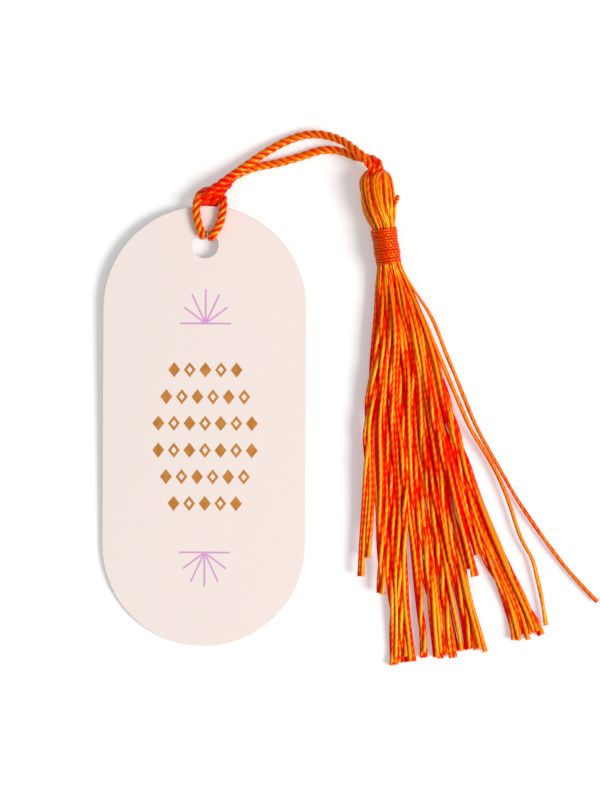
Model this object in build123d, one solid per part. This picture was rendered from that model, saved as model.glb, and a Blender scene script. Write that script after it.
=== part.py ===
# Bookmark: a punched card with rounded ends, a twisted hanging cord hitched through its hole,
# and a yarn tassel on the end of the cord. It lies on its back, with +Y along the card and +Z up.
# The origin is on the table under the middle of the card. All sizes are in millimetres.
from build123d import *
import math
import os

# Card
CARD_WIDTH = 60.0
CARD_LENGTH = 130.0
CARD_THICKNESS = 1.0
CARD_EDGE_ROUNDING = 0.15
HOLE_DIAMETER = 8.0
HOLE_FROM_TOP = 11.4
PRINT_PANEL_FROM_TOP = 20.0

# Hanging cord
CORD_DIAMETER = 2.2
CORD_SEAT_GAP = 0.2
CORD_JOINT_GAP = 0.6
CORD_STACK_GAP = 0.5

# Tassel: yarns folded over the cord, bound at the neck, cut at the skirt. HEAD_SWELL gives the
# head's fullness at distances from the eye, and SKIRT_STATIONS the shares of a strand's reach
# at which its section is set
YARN_COUNT = 22
YARN_NECK_PITCH = 0.48
YARN_EYE_RADIAL_PITCH = 0.33
YARN_EYE_HEIGHT_PITCH = 0.42
YARN_HEAD_PITCH = 0.80
YARN_SKIRT_PITCH = 0.78
YARN_FILL = 0.665
EYE_CLEARANCE = 0.45
HEAD_LENGTH = 18.0
HEAD_SWELL = [(14.0, 0.72), (9.5, 1.0), (5.0, 0.86)]
FOLD_STEPS = 6
TASSEL_AXIS_HEIGHT = 5.0
TASSEL_LEAN_FROM_CARD = 9.0
SKIRT_BLOOM_LENGTH = 22.0
SKIRT_FLARE = 1.6
SKIRT_FLARE_LENGTH = 5.0
SKIRT_FAN_SLOPE = 0.19
SKIRT_GATHER_FROM = 30.0
SKIRT_SETTLE_LENGTH = 12.0
SKIRT_STATIONS = [1.0, 0.85, 0.7, 0.55, 0.42, 0.3, 0.19, 0.1, 0.04, 0.0]

# Binding thread round the neck
BINDING_THREAD = 0.38
BINDING_PITCH = 0.8
BINDING_TURNS = 13
BINDING_GAP = 0.06

# Locks of the skirt, from the middle outwards: how many strands each has, where it starts and
# ends beside the tassel's axis, and how far from the neck it is cut
LEFT_LOCK_COUNTS = [6, 2, 10, 1, 3]
LEFT_LOCKS = [
    (0.6, 6.2, 116.5),
    (8.0, 9.4, 115.4),
    (11.2, 20.7, 115.5),
    (20.6, 20.6, 95.2),
    (21.6, 24.8, 88.0),
]
RIGHT_LOCK_COUNTS = [4, 5, 4, 7, 1, 1]
RIGHT_LOCKS = [
    (0.6, 4.2, 116.0),
    (5.4, 9.8, 115.4),
    (10.8, 13.2, 91.0),
    (19.0, 26.0, 114.7),
    (29.0, 29.0, 112.0),
    (44.0, 44.0, 107.5),
]

GOLDEN = (1 + math.sqrt(5)) / 2
LATTICE_SHIFT = 0.75
LATTICE_FIRST = 0.7
LATTICE_SEARCH = 12
SIDES = 6

card_top = CARD_LENGTH / 2
cord_radius = CORD_DIAMETER / 2
hole_y = card_top - HOLE_FROM_TOP
strip_y = hole_y + HOLE_DIAMETER / 2

# The card's upper end rests on the cord behind it, so the card leans by the cord's thickness
card_slope = (CORD_DIAMETER + CORD_SEAT_GAP) / (strip_y + card_top)
card_lean = math.degrees(math.atan(card_slope))
card_place = Location((0, 0, card_top * math.sin(math.radians(card_lean))), (card_lean, 0, 0))


def card_front(y):
    """Height of the card's front face above the table, at a place along the card."""
    return (y + card_top) * card_slope + CARD_THICKNESS


def make_card():
    """A stadium of board with softened edges and the punched hole.

    Both faces have a seam line below the hole, where the printed panel starts: the board is cut
    there and its outer faces are sewn together again, without the two cut faces.
    """
    board = extrude(SlotOverall(CARD_LENGTH, CARD_WIDTH, rotation=90), CARD_THICKNESS)
    rims = board.faces().filter_by(Axis.Z).edges()
    board = fillet(rims, CARD_EDGE_ROUNDING)
    punch = Pos(0, hole_y, CARD_THICKNESS / 2) * Cylinder(HOLE_DIAMETER / 2, 2 * CARD_THICKNESS)
    board = board - punch
    seam = Plane.XZ.offset(PRINT_PANEL_FROM_TOP - card_top)
    halves = split(board, seam, keep=Keep.BOTH).solids()
    cut_faces = halves.faces().filter_by(Plane.XZ)
    outer_faces = [face for face in halves.faces() if face not in cut_faces]
    return card_place * Solid(Shell(outer_faces))


def bend_radii(points, tight):
    """Largest arc that fits at each corner, or the tight radius of a fold round an edge."""
    radii = []
    for before, corner, after, fold in zip(points, points[1:], points[2:], tight):
        runs = [Vector(*corner) - Vector(*before), Vector(*after) - Vector(*corner)]
        turn = math.radians(runs[0].get_angle(runs[1]))
        room = 0.45 * min(run.length for run in runs) / math.tan(turn / 2)
        radii.append(fold if fold else room)
    return radii


def cord_tube(name, points, tight=None):
    """A round cord swept along straight runs joined by tangent arcs."""
    corners = len(points) - 2
    radii = bend_radii(points, tight or [None] * corners)
    path = FilletPolyline(*points, radius=radii)
    section = Plane(origin=path @ 0, z_dir=path % 0) * Circle(cord_radius)
    tube = sweep(section, path=path)
    ideal = math.pi * cord_radius ** 2 * path.length
    print(name, "radii", [round(radius, 1) for radius in radii], "length", round(path.length, 1),
          "volume share", round(tube.volume / ideal, 4))
    return tube


# Hitch: where the cord goes through the hole, round the strip and under itself
def hole_pass(x):
    """Where a strand goes up through the hole, close under the hole's rim."""
    return hole_y + math.sqrt((HOLE_DIAMETER / 2 - cord_radius - CORD_SEAT_GAP / 2) ** 2 - x ** 2)


hitch_fold = cord_radius + CARD_THICKNESS / 2
hole_mid = card_front(strip_y) - CARD_THICKNESS / 2
leg_lift = CORD_SEAT_GAP + cord_radius
behind = cord_radius
crossing = 2 * CORD_DIAMETER - 2 * CORD_SEAT_GAP
LEFT_PASS = -0.7
RIGHT_PASS = 1.9
left_pass_y = hole_pass(LEFT_PASS)
right_pass_y = hole_pass(RIGHT_PASS)

bight_route = [
    (LEFT_PASS, left_pass_y, hole_mid),
    (LEFT_PASS, left_pass_y, card_front(strip_y) + leg_lift),
    (-2.3, card_top - 3.0, card_front(card_top) + leg_lift),
    (-2.9, card_top + 0.9, card_front(card_top) + leg_lift),
    (-2.9, card_top + 2.8, behind + 1.5),
    (-1.3, card_top + 3.8, behind),
    (2.9, card_top + 3.8, behind),
    (4.5, card_top + 2.8, behind + 1.5),
    (4.5, card_top + 0.9, card_front(card_top) + leg_lift),
    (4.0, card_top - 3.0, card_front(card_top) + leg_lift),
    (RIGHT_PASS, right_pass_y, card_front(strip_y) + leg_lift),
    (RIGHT_PASS, right_pass_y, hole_mid),
]
bight_folds = [hitch_fold] + [None] * 8 + [hitch_fold]

# Stack: the place beyond the hitch where one strand lies on the other, and the loop swings
stack = (7.7, card_top + 8.7)
stack_low = behind
stack_high = behind + CORD_DIAMETER + CORD_STACK_GAP

standing_left_route = [
    (LEFT_PASS, left_pass_y, hole_mid),
    (LEFT_PASS, left_pass_y, behind),
    (-0.5, card_top + 0.4, behind + 0.05),
    (-0.4, card_top + 3.6, crossing),
    (2.2, card_top + 8.2, crossing + 2.1),
    (stack[0], stack[1], stack_high),
]
standing_right_route = [
    (RIGHT_PASS, right_pass_y, hole_mid),
    (RIGHT_PASS, right_pass_y, behind),
    (2.1, card_top + 0.4, behind + 0.05),
    (2.0, card_top + 3.6, crossing),
    (5.2, card_top + 5.5, crossing - 0.3),
    (stack[0], stack[1], stack_low),
]
standing_folds = [hitch_fold, None, None, None]

# Eye: the upright stretch of cord that the yarns are folded round, and the tassel swings on
eye = (stack[0] + 41.9, stack[1] + 2.6)


def yarn_lattice():
    """Places of the yarns on a golden-ratio lattice, as (across, up) in pitches.

    Its rows never line up, so it can be drawn out flat without two strands meeting.
    """
    places = []
    search = range(-LATTICE_SEARCH, LATTICE_SEARCH + 1)
    for row in search:
        for column in search:
            across = row + column * GOLDEN
            up = row - column / GOLDEN + LATTICE_SHIFT
            if across > LATTICE_FIRST:
                places.append((math.hypot(across, up), across, up))
    places.sort()
    return sorted((across, up) for size, across, up in places[:YARN_COUNT])


yarn_places = yarn_lattice()
widest_place = max(across for across, up in yarn_places)
first_place = min(across for across, up in yarn_places)
highest_place = max(abs(up) for across, up in yarn_places)
outermost_place = max(math.hypot(across, up) for across, up in yarn_places)
neck_radius = (outermost_place + YARN_FILL) * YARN_NECK_PITCH
eye_inner = cord_radius + EYE_CLEARANCE + YARN_FILL * YARN_EYE_RADIAL_PITCH
eye_half_height = (highest_place + YARN_FILL) * YARN_EYE_HEIGHT_PITCH
eye_over = TASSEL_AXIS_HEIGHT + eye_half_height + CORD_SEAT_GAP + cord_radius
eye_under = min(behind, TASSEL_AXIS_HEIGHT - eye_half_height - CORD_SEAT_GAP - cord_radius)

upper_route = [
    (stack[0], stack[1], stack_high),
    (stack[0] + 9.3, stack[1] + 7.2, stack_high + 0.3),
    (stack[0] + 17.2, stack[1] + 11.4, stack_high + 0.8),
    (stack[0] + 24.6, stack[1] + 12.8, stack_high + 1.8),
    (stack[0] + 31.8, stack[1] + 10.9, stack_high + 3.3),
    (stack[0] + 37.4, stack[1] + 6.6, eye_over - 0.5),
    (eye[0], eye[1], eye_over),
    (eye[0], eye[1], TASSEL_AXIS_HEIGHT),
]
lower_route = [
    (stack[0], stack[1], stack_low),
    (stack[0] + 6.2, stack[1] + 3.0, behind),
    (stack[0] + 13.2, stack[1] + 4.1, behind),
    (stack[0] + 20.3, stack[1] + 6.2, behind),
    (stack[0] + 26.6, stack[1] + 8.2, behind),
    (stack[0] + 32.4, stack[1] + 7.9, behind),
    (stack[0] + 37.4, stack[1] + 5.6, eye_under),
    (eye[0], eye[1], eye_under),
    (eye[0], eye[1], TASSEL_AXIS_HEIGHT),
]
eye_fold = 1.1 * CORD_DIAMETER
upper_folds = [None] * 5 + [eye_fold]
lower_folds = [None] * 6 + [eye_fold]

# Tassel axis, from the eye down to the cut ends
lean = math.radians(TASSEL_LEAN_FROM_CARD)
along = Vector(math.sin(lean), -math.cos(lean), 0)
across_axis = Vector(math.cos(lean), math.sin(lean), 0)
neck_exit = HEAD_LENGTH + BINDING_TURNS * BINDING_PITCH + BINDING_THREAD


def tassel_point(run, side, height):
    """A place on the tassel: run along its axis from the eye, side across it, and its height."""
    flat = along * run + across_axis * side
    return Vector(eye[0] + flat.X, eye[1] + flat.Y, height)


def yarn_ring(centre, half_side, half_height, tangent_turn):
    """Six-sided section of a yarn, turned about the upright by tangent_turn."""
    outward = along * -math.sin(tangent_turn) + across_axis * math.cos(tangent_turn)
    corners = []
    for corner in range(SIDES):
        angle = math.tau * corner / SIDES
        spread = outward * (half_side * math.cos(angle))
        corners.append(centre + spread + Vector(0, 0, half_height * math.sin(angle)))
    return Wire.make_polygon(corners, close=True)


def smooth(share):
    """Eases from 0 to 1."""
    share = min(max(share, 0.0), 1.0)
    return share * share * (3 - 2 * share)


def skirt_half_width(drop):
    """Half the skirt's width at a distance below the neck: a quick flare, then a steady fan."""
    flare = SKIRT_FLARE * (1 - math.exp(-drop / SKIRT_FLARE_LENGTH))
    return widest_place * YARN_NECK_PITCH + flare + SKIRT_FAN_SLOPE * drop


def skirt_spread(place, drop):
    """Side, side pitch and yarn pitch of a strand at a distance below the neck, before it gathers.

    The yarn swells to its loose thickness, and the lattice is drawn out from its first strand,
    which stays close beside the tassel's axis.
    """
    pitch = YARN_NECK_PITCH + (YARN_SKIRT_PITCH - YARN_NECK_PITCH) * smooth(drop / SKIRT_BLOOM_LENGTH)
    first_side = first_place * pitch
    side_pitch = (skirt_half_width(drop) - first_side) / (widest_place - first_place)
    return first_side + (place[0] - first_place) * side_pitch, side_pitch, pitch


def skirt_place(place, drop, end_side, reach):
    """Side, height and half thickness of a strand at a distance below the neck.

    The lattice is pressed down by the factor that it is drawn out by, and the strand gathers
    into its lock.
    """
    side, side_pitch, pitch = skirt_spread(place, drop)
    height_pitch = pitch ** 2 / side_pitch
    gather = smooth((drop - SKIRT_GATHER_FROM) / (reach - SKIRT_GATHER_FROM))
    side += (end_side - skirt_spread(place, reach)[0]) * gather
    half = pitch * YARN_FILL
    pile = highest_place * height_pitch + half
    neck_pile = (highest_place + YARN_FILL) * YARN_NECK_PITCH
    settle = (TASSEL_AXIS_HEIGHT - neck_pile) * math.exp(-drop / SKIRT_SETTLE_LENGTH)
    return side, pile + settle + place[1] * height_pitch, half


def lock_ends(strand_counts, locks):
    """End place and reach of every strand of one half of the skirt, from the middle outwards."""
    ends = []
    for strands, (start, end, reach) in zip(strand_counts, locks):
        for strand in range(strands):
            share = strand / (strands - 1) if strands > 1 else 0.0
            ends.append((start + (end - start) * share, reach))
    return ends


def yarn_leg(place, hand, end_side, reach):
    """Sections of one leg of a folded yarn, from its cut end up to the eye."""
    rings = []
    for share in SKIRT_STATIONS:
        drop = reach * share
        side, height, half = skirt_place(place, drop, end_side, reach)
        centre = tassel_point(neck_exit + drop, hand * side, height)
        rings.append(yarn_ring(centre, half * hand, half, 0))
    for run, swell in [(HEAD_LENGTH, 0.0)] + HEAD_SWELL:
        pitch = YARN_NECK_PITCH + (YARN_HEAD_PITCH - YARN_NECK_PITCH) * swell
        centre = tassel_point(run, hand * place[0] * pitch, TASSEL_AXIS_HEIGHT + place[1] * pitch)
        rings.append(yarn_ring(centre, pitch * YARN_FILL * hand, pitch * YARN_FILL, 0))
    return rings


def make_yarn(place, left_end, right_end):
    """One yarn, folded round the cord at the eye, with a leg on each side of the tassel."""
    rings = yarn_leg(place, -1, *left_end)
    fold = eye_inner + (place[0] - first_place) * YARN_EYE_RADIAL_PITCH
    height = TASSEL_AXIS_HEIGHT + place[1] * YARN_EYE_HEIGHT_PITCH
    half_side = YARN_EYE_RADIAL_PITCH * YARN_FILL
    half_height = YARN_EYE_HEIGHT_PITCH * YARN_FILL
    for step in range(FOLD_STEPS + 1):
        turn = math.pi * (1 - step / FOLD_STEPS)
        centre = tassel_point(-fold * math.sin(turn), fold * math.cos(turn), height)
        rings.append(yarn_ring(centre, half_side, half_height, turn))
    rings += reversed(yarn_leg(place, 1, *right_end))
    return Solid.make_loft(rings, ruled=True)


def binding_point(turns):
    """A place on the winding: its radius clears the yarns, and it climbs by its pitch each turn."""
    radius = neck_radius + BINDING_GAP + BINDING_THREAD / 2
    angle = math.tau * turns
    run = HEAD_LENGTH + BINDING_THREAD / 2 + BINDING_PITCH * turns
    return tassel_point(run, radius * math.cos(angle), TASSEL_AXIS_HEIGHT + radius * math.sin(angle))


def binding_tangent(turns):
    """Direction of the winding at that place."""
    radius = neck_radius + BINDING_GAP + BINDING_THREAD / 2
    angle = math.tau * turns
    turning = across_axis * (-radius * math.sin(angle)) + Vector(0, 0, radius * math.cos(angle))
    return (turning + along * (BINDING_PITCH / math.tau)).normalized()


def make_binding():
    """One unbroken thread wound round the neck, on two tangent arcs for each half turn."""
    arcs = []
    for half_turn in range(2 * BINDING_TURNS):
        start, end = binding_point(half_turn / 2), binding_point(half_turn / 2 + 0.5)
        leave, arrive = binding_tangent(half_turn / 2), binding_tangent(half_turn / 2 + 0.5)
        chord = end - start
        both = leave + arrive
        room = 2 * (1 - leave.dot(arrive))
        reach = (math.sqrt(chord.dot(both) ** 2 + room * chord.dot(chord)) - chord.dot(both)) / room
        middle = (start + leave * reach + end - arrive * reach) / 2
        first = Edge.make_tangent_arc(start, leave, middle)
        arcs += [first, Edge.make_tangent_arc(middle, first % 1, end)]
    path = Wire(arcs)
    start_plane = Plane(origin=binding_point(0), z_dir=binding_tangent(0))
    section = start_plane * RegularPolygon(BINDING_THREAD / 2, SIDES)
    gap = (binding_point(1) - binding_point(0)).length - BINDING_THREAD
    print("binding gap between turns", round(gap, 2), "turns", BINDING_TURNS)
    return sweep(section, path=path)


def joint_ball(height, gap):
    """Ball at the stack, where a strand of the loop meets its standing end."""
    return Pos(stack[0], stack[1], height) * Sphere(cord_radius + gap)


os.makedirs("parts", exist_ok=True)
nodes = {
    "card": make_card(),
    "hitch_bight": cord_tube("hitch_bight", bight_route, bight_folds),
}
standing_left = cord_tube("standing_left", standing_left_route, standing_folds)
standing_right = cord_tube("standing_right", standing_right_route, standing_folds)
nodes["hitch_standing_left"] = standing_left + joint_ball(stack_high, 0)
nodes["hitch_standing_right"] = standing_right + joint_ball(stack_low, 0)
loop_upper = cord_tube("loop_upper", upper_route, upper_folds)
loop_lower = cord_tube("loop_lower", lower_route, lower_folds)
nodes["loop_strand_upper"] = loop_upper - joint_ball(stack_high, CORD_JOINT_GAP)
nodes["loop_strand_lower"] = loop_lower - joint_ball(stack_low, CORD_JOINT_GAP)
left_ends = lock_ends(LEFT_LOCK_COUNTS, LEFT_LOCKS)
right_ends = lock_ends(RIGHT_LOCK_COUNTS, RIGHT_LOCKS)
for number, place in enumerate(yarn_places):
    nodes[f"yarn_{number + 1:02d}"] = make_yarn(place, left_ends[number], right_ends[number])
nodes["neck_binding"] = make_binding()

for name, shape in nodes.items():
    export_step(shape, f"parts/{name}.step")
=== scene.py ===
import math

import bpy
import numpy as np
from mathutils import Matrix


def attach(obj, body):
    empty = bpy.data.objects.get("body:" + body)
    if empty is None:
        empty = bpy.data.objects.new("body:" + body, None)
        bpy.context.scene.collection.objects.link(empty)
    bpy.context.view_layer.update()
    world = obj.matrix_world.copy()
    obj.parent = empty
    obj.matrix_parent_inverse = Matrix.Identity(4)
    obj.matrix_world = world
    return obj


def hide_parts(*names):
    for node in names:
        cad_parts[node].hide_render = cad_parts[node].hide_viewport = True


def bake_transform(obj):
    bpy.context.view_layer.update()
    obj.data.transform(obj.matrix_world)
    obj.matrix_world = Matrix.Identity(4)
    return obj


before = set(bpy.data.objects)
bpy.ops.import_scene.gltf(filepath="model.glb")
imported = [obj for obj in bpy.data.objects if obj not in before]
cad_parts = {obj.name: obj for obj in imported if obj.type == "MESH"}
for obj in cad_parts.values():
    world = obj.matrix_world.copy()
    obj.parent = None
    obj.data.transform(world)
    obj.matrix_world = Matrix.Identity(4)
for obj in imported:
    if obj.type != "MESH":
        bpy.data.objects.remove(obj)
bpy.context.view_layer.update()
MM = 0.001

# Table and studio: a plain white table top, one large soft lamp on the right and a little towards
# the foot of the picture, and an even white room with a dim ceiling. The camera looks straight down.
TABLE_HALF = 4.0
TABLE_DROP = 0.02 * MM
TABLE_WHITE = (0.80, 0.795, 0.79, 1.0)
TABLE_GLOW = 0.26
ROOM_WHITE = (1.0, 1.0, 1.0, 1.0)
ROOM_LIGHT = 0.45
CEILING_SHOWN = 0.12
LAMP_POWER = 34.6
LAMP_SIZE = 0.95
LAMP_DISTANCE = 2.0
LAMP_ELEVATION = math.radians(44.0)
LAMP_AZIMUTH = math.radians(-17.0)
VIEW_CENTRE = (0.02820, 0.00799)
VIEW_HEIGHT = 0.6580
VIEW_TURN = 0.006
VIEW_LENS = 100.0


def add_node(tree, kind, **values):
    """A shader node, with values for its input sockets by name."""
    node = tree.nodes.new(kind)
    for name, value in values.items():
        node.inputs[name.replace("_", " ")].default_value = value
    return node


def seen_directly(tree):
    """1 for camera, glossy and transmission rays, 0 for the rays that carry light."""
    path = tree.nodes.new("ShaderNodeLightPath")
    total = path.outputs["Is Camera Ray"]
    for name in ("Is Glossy Ray", "Is Transmission Ray"):
        larger = tree.nodes.new("ShaderNodeMath")
        larger.operation = "MAXIMUM"
        tree.links.new(total, larger.inputs[0])
        tree.links.new(path.outputs[name], larger.inputs[1])
        total = larger.outputs[0]
    return total


def surface_mesh(name, points, quads):
    """A mesh from an array of points and an array of the corner numbers of its quads."""
    mesh = bpy.data.meshes.new(name)
    mesh.vertices.add(len(points))
    mesh.vertices.foreach_set("co", np.asarray(points, np.float32).ravel())
    mesh.loops.add(quads.size)
    mesh.loops.foreach_set("vertex_index", quads.astype(np.int32).ravel())
    mesh.polygons.add(len(quads))
    mesh.polygons.foreach_set("loop_start", np.arange(0, quads.size, 4, dtype=np.int32))
    mesh.update(calc_edges=True)
    mesh.polygons.foreach_set("use_smooth", np.ones(len(quads), bool))
    return mesh


def sheet_quads(rows, columns):
    """Corner numbers of the quads of an open grid laid out (row, column)."""
    index = np.arange(rows * columns).reshape(rows, columns)
    corners = [index[:-1, :-1], index[:-1, 1:], index[1:, 1:], index[1:, :-1]]
    return np.stack(corners, axis=-1).reshape(-1, 4)


table_span = np.linspace(-TABLE_HALF, TABLE_HALF, 3)
table_x, table_y = np.meshgrid(table_span, table_span)
table_points = np.stack([table_x, table_y, np.full_like(table_x, -TABLE_DROP)], axis=-1).reshape(-1, 3)
table = bpy.data.objects.new("table", surface_mesh("table", table_points, sheet_quads(3, 3)))
bpy.context.collection.objects.link(table)
table_white = bpy.data.materials.new("table_white")
table_white.use_nodes = True
tree = table_white.node_tree
tree.nodes.clear()
matt = add_node(tree, "ShaderNodeBsdfDiffuse", Color=TABLE_WHITE)
glow = add_node(tree, "ShaderNodeEmission", Color=ROOM_WHITE)
glow_share = tree.nodes.new("ShaderNodeMath")
glow_share.operation = "MULTIPLY"
glow_share.inputs[1].default_value = TABLE_GLOW
tree.links.new(seen_directly(tree), glow_share.inputs[0])
tree.links.new(glow_share.outputs[0], glow.inputs["Strength"])
both = tree.nodes.new("ShaderNodeAddShader")
tree.links.new(matt.outputs[0], both.inputs[0])
tree.links.new(glow.outputs[0], both.inputs[1])
tree.links.new(both.outputs[0], tree.nodes.new("ShaderNodeOutputMaterial").inputs["Surface"])
table.data.materials.append(table_white)

room = bpy.data.worlds.new("room")
bpy.context.scene.world = room
room.use_nodes = True
tree = room.node_tree
tree.nodes.clear()
light_sky = add_node(tree, "ShaderNodeBackground", Color=ROOM_WHITE, Strength=ROOM_LIGHT)
shown_sky = add_node(tree, "ShaderNodeBackground", Color=ROOM_WHITE)
upward = tree.nodes.new("ShaderNodeSeparateXYZ")
tree.links.new(tree.nodes.new("ShaderNodeTexCoord").outputs["Generated"], upward.inputs[0])
ceiling = add_node(tree, "ShaderNodeMapRange", From_Min=0.05, From_Max=0.20, To_Min=1.0,
                   To_Max=CEILING_SHOWN)
tree.links.new(upward.outputs["Z"], ceiling.inputs["Value"])
tree.links.new(ceiling.outputs["Result"], shown_sky.inputs["Strength"])
sky = tree.nodes.new("ShaderNodeMixShader")
tree.links.new(seen_directly(tree), sky.inputs[0])
tree.links.new(light_sky.outputs[0], sky.inputs[1])
tree.links.new(shown_sky.outputs[0], sky.inputs[2])
tree.links.new(sky.outputs[0], tree.nodes.new("ShaderNodeOutputWorld").inputs["Surface"])

lamp_data = bpy.data.lights.new("lamp", "AREA")
lamp_data.shape = "DISK"
lamp_data.size = LAMP_SIZE
lamp_data.energy = LAMP_POWER
lamp = bpy.data.objects.new("lamp", lamp_data)
lamp.location = (
    VIEW_CENTRE[0] + LAMP_DISTANCE * math.cos(LAMP_ELEVATION) * math.cos(LAMP_AZIMUTH),
    VIEW_CENTRE[1] + LAMP_DISTANCE * math.cos(LAMP_ELEVATION) * math.sin(LAMP_AZIMUTH),
    LAMP_DISTANCE * math.sin(LAMP_ELEVATION),
)
lamp.rotation_euler = (0.0, math.pi / 2 - LAMP_ELEVATION, LAMP_AZIMUTH)
bpy.context.collection.objects.link(lamp)

camera_data = bpy.data.cameras.new("camera")
camera_data.lens = VIEW_LENS
camera = bpy.data.objects.new("camera", camera_data)
camera.location = (VIEW_CENTRE[0], VIEW_CENTRE[1], VIEW_HEIGHT)
camera.rotation_euler = (0.0, 0.0, VIEW_TURN)
bpy.context.collection.objects.link(camera)
bpy.context.scene.camera = camera
bpy.context.scene.view_settings.view_transform = "Standard"

# Card: one piece of uncoated pale pink board, die-cut with round ends and one punched hole.
# Its upper end rests on the cord behind it, so it leans a little.
TOP = 65.0
CARD_TOP = TOP * MM
CARD_THICKNESS = 1.0 * MM
CARD_LIFT = 2.4
CARD_FOOT_TO_CORD = 57.6 + TOP
CARD_SLOPE = CARD_LIFT / CARD_FOOT_TO_CORD
CARD_LEAN = math.atan(CARD_SLOPE)
CARD_PINK = (0.905, 0.792, 0.742, 1.0)
CARD_PINK_DEEP = (0.895, 0.780, 0.730, 1.0)


def finish_material(name):
    """A material with a Principled shader, and its node tree."""
    material = bpy.data.materials.new(name)
    material.use_nodes = True
    return material, material.node_tree, material.node_tree.nodes["Principled BSDF"]


def tone_ramp(tree, factor, tones):
    """Colour by a factor, from a list of positions and colours."""
    ramp = tree.nodes.new("ShaderNodeValToRGB")
    elements = ramp.color_ramp.elements
    elements[0].position, elements[0].color = tones[0]
    elements[1].position, elements[1].color = tones[-1]
    for position, colour in tones[1:-1]:
        elements.new(position).color = colour
    tree.links.new(factor, ramp.inputs["Fac"])
    return ramp.outputs["Color"]


def mottle(tree, shader, coordinates, scale, detail, colours):
    """Base colour between two tones, by a noise of that scale."""
    noise = add_node(tree, "ShaderNodeTexNoise", Scale=scale, Detail=detail)
    tree.links.new(coordinates, noise.inputs["Vector"])
    colour = tone_ramp(tree, noise.outputs["Fac"], [(0.35, colours[0]), (0.65, colours[1])])
    tree.links.new(colour, shader.inputs["Base Color"])


def grain(tree, shader, coordinates, scale, strength, depth):
    """Fine bump from a noise of that scale, as deep as depth."""
    noise = add_node(tree, "ShaderNodeTexNoise", Scale=scale, Detail=4.0)
    bump = add_node(tree, "ShaderNodeBump", Strength=strength, Distance=depth)
    tree.links.new(coordinates, noise.inputs["Vector"])
    tree.links.new(noise.outputs["Fac"], bump.inputs["Height"])
    tree.links.new(bump.outputs["Normal"], shader.inputs["Normal"])


card_board, tree, shader = finish_material("pale_pink_board")
place = tree.nodes.new("ShaderNodeTexCoord").outputs["Object"]
mottle(tree, shader, place, scale=900.0, detail=6.0, colours=(CARD_PINK_DEEP, CARD_PINK))
grain(tree, shader, place, scale=5200.0, strength=0.25, depth=0.03 * MM)
shader.inputs["Roughness"].default_value = 0.78
shader.inputs["Specular IOR Level"].default_value = 0.3
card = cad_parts["card"]
card.data.materials.clear()
card.data.materials.append(card_board)

# Foil ornament: copper-coloured foil stamped on the card's front, as six rows of small lozenges,
# every second one an open outline.
FOIL_ROWS_Y = [16.74, 8.77, 0.94, -7.02, -14.85, -22.73]
FOIL_ROW_COUNTS = [5, 6, 7, 7, 6, 5]
FOIL_PITCH = 4.6 * MM
FOIL_HALF_WIDTH = 1.78 * MM
FOIL_HALF_HEIGHT = 2.28 * MM
FOIL_OPENING = 0.45
FOIL_INNER_BEVEL = 0.04
FOIL_OUTER_BEVEL = 0.03
FOIL_LIFT = 0.03 * MM
FOIL_COPPER = (0.80, 0.295, 0.045, 1.0)
FOIL_COPPER_LIGHT = (0.93, 0.400, 0.090, 1.0)
PRINT_CENTRE_X = 0.25 * MM


def on_card(points):
    """Points on the leaning card, from places across and along it and heights over its front face:
    turned about X by the lean, and lifted so that its lower end touches the table."""
    x, y, height = points[..., 0], points[..., 1], points[..., 2] + CARD_THICKNESS
    lift = CARD_TOP * math.sin(CARD_LEAN)
    turned_y = y * math.cos(CARD_LEAN) - height * math.sin(CARD_LEAN)
    turned_z = y * math.sin(CARD_LEAN) + height * math.cos(CARD_LEAN) + lift
    return np.stack([x, turned_y, turned_z], axis=-1)


def ring_quads(count, rings, sides):
    """Corner numbers of the quads of a stack of closed tubes laid out (tube, ring, side)."""
    index = np.arange(count * rings * sides).reshape(count, rings, sides)
    near, far = index[:, :-1], index[:, 1:]
    corners = [near, np.roll(near, -1, axis=2), np.roll(far, -1, axis=2), far]
    return np.stack(corners, axis=-1).reshape(-1, 4)


def lozenges(centres, opening):
    """Stamped lozenges: a profile of shares and heights, from the middle or the opening out to the
    rim, carried round four corners."""
    shares = np.array([opening, opening + FOIL_INNER_BEVEL, 1.0 - FOIL_OUTER_BEVEL, 1.0])
    heights = np.array([0.0 if opening else 1.0, 1.0, 1.0, 0.0]) * FOIL_LIFT
    corners = np.array([[1.0, 0.0], [0.0, 1.0], [-1.0, 0.0], [0.0, -1.0]])
    flat = corners * np.array([FOIL_HALF_WIDTH, FOIL_HALF_HEIGHT])
    outline = centres[:, None, None, :] + shares[None, ::-1, None, None] * flat[None, None, :, :]
    raised = np.broadcast_to(heights[None, ::-1, None, None], outline.shape[:3] + (1,))
    points = np.concatenate([outline, raised], axis=-1)
    return on_card(points).reshape(-1, 3), ring_quads(len(centres), 4, 4)


foil_rows = []
for row_y, row_count in zip(FOIL_ROWS_Y, FOIL_ROW_COUNTS):
    row_x = (np.arange(row_count) - (row_count - 1) / 2) * FOIL_PITCH + PRINT_CENTRE_X
    foil_rows.append(np.stack([row_x, np.full(row_count, row_y * MM)], axis=-1))
solid_centres = np.concatenate([row[0::2] for row in foil_rows])
open_centres = np.concatenate([row[1::2] for row in foil_rows])
solid_points, solid_quads = lozenges(solid_centres, 0.0)
open_points, open_quads = lozenges(open_centres, FOIL_OPENING)
foil = bpy.data.objects.new("foil_ornament", surface_mesh(
    "foil_ornament",
    np.concatenate([solid_points, open_points]),
    np.concatenate([solid_quads, open_quads + len(solid_points)])))
foil.data.polygons.foreach_set("use_smooth", np.zeros(len(foil.data.polygons), bool))
bpy.context.collection.objects.link(foil)
copper_foil, tree, shader = finish_material("copper_foil")
place = tree.nodes.new("ShaderNodeTexCoord").outputs["Object"]
mottle(tree, shader, place, scale=420.0, detail=3.0, colours=(FOIL_COPPER, FOIL_COPPER_LIGHT))
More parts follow.
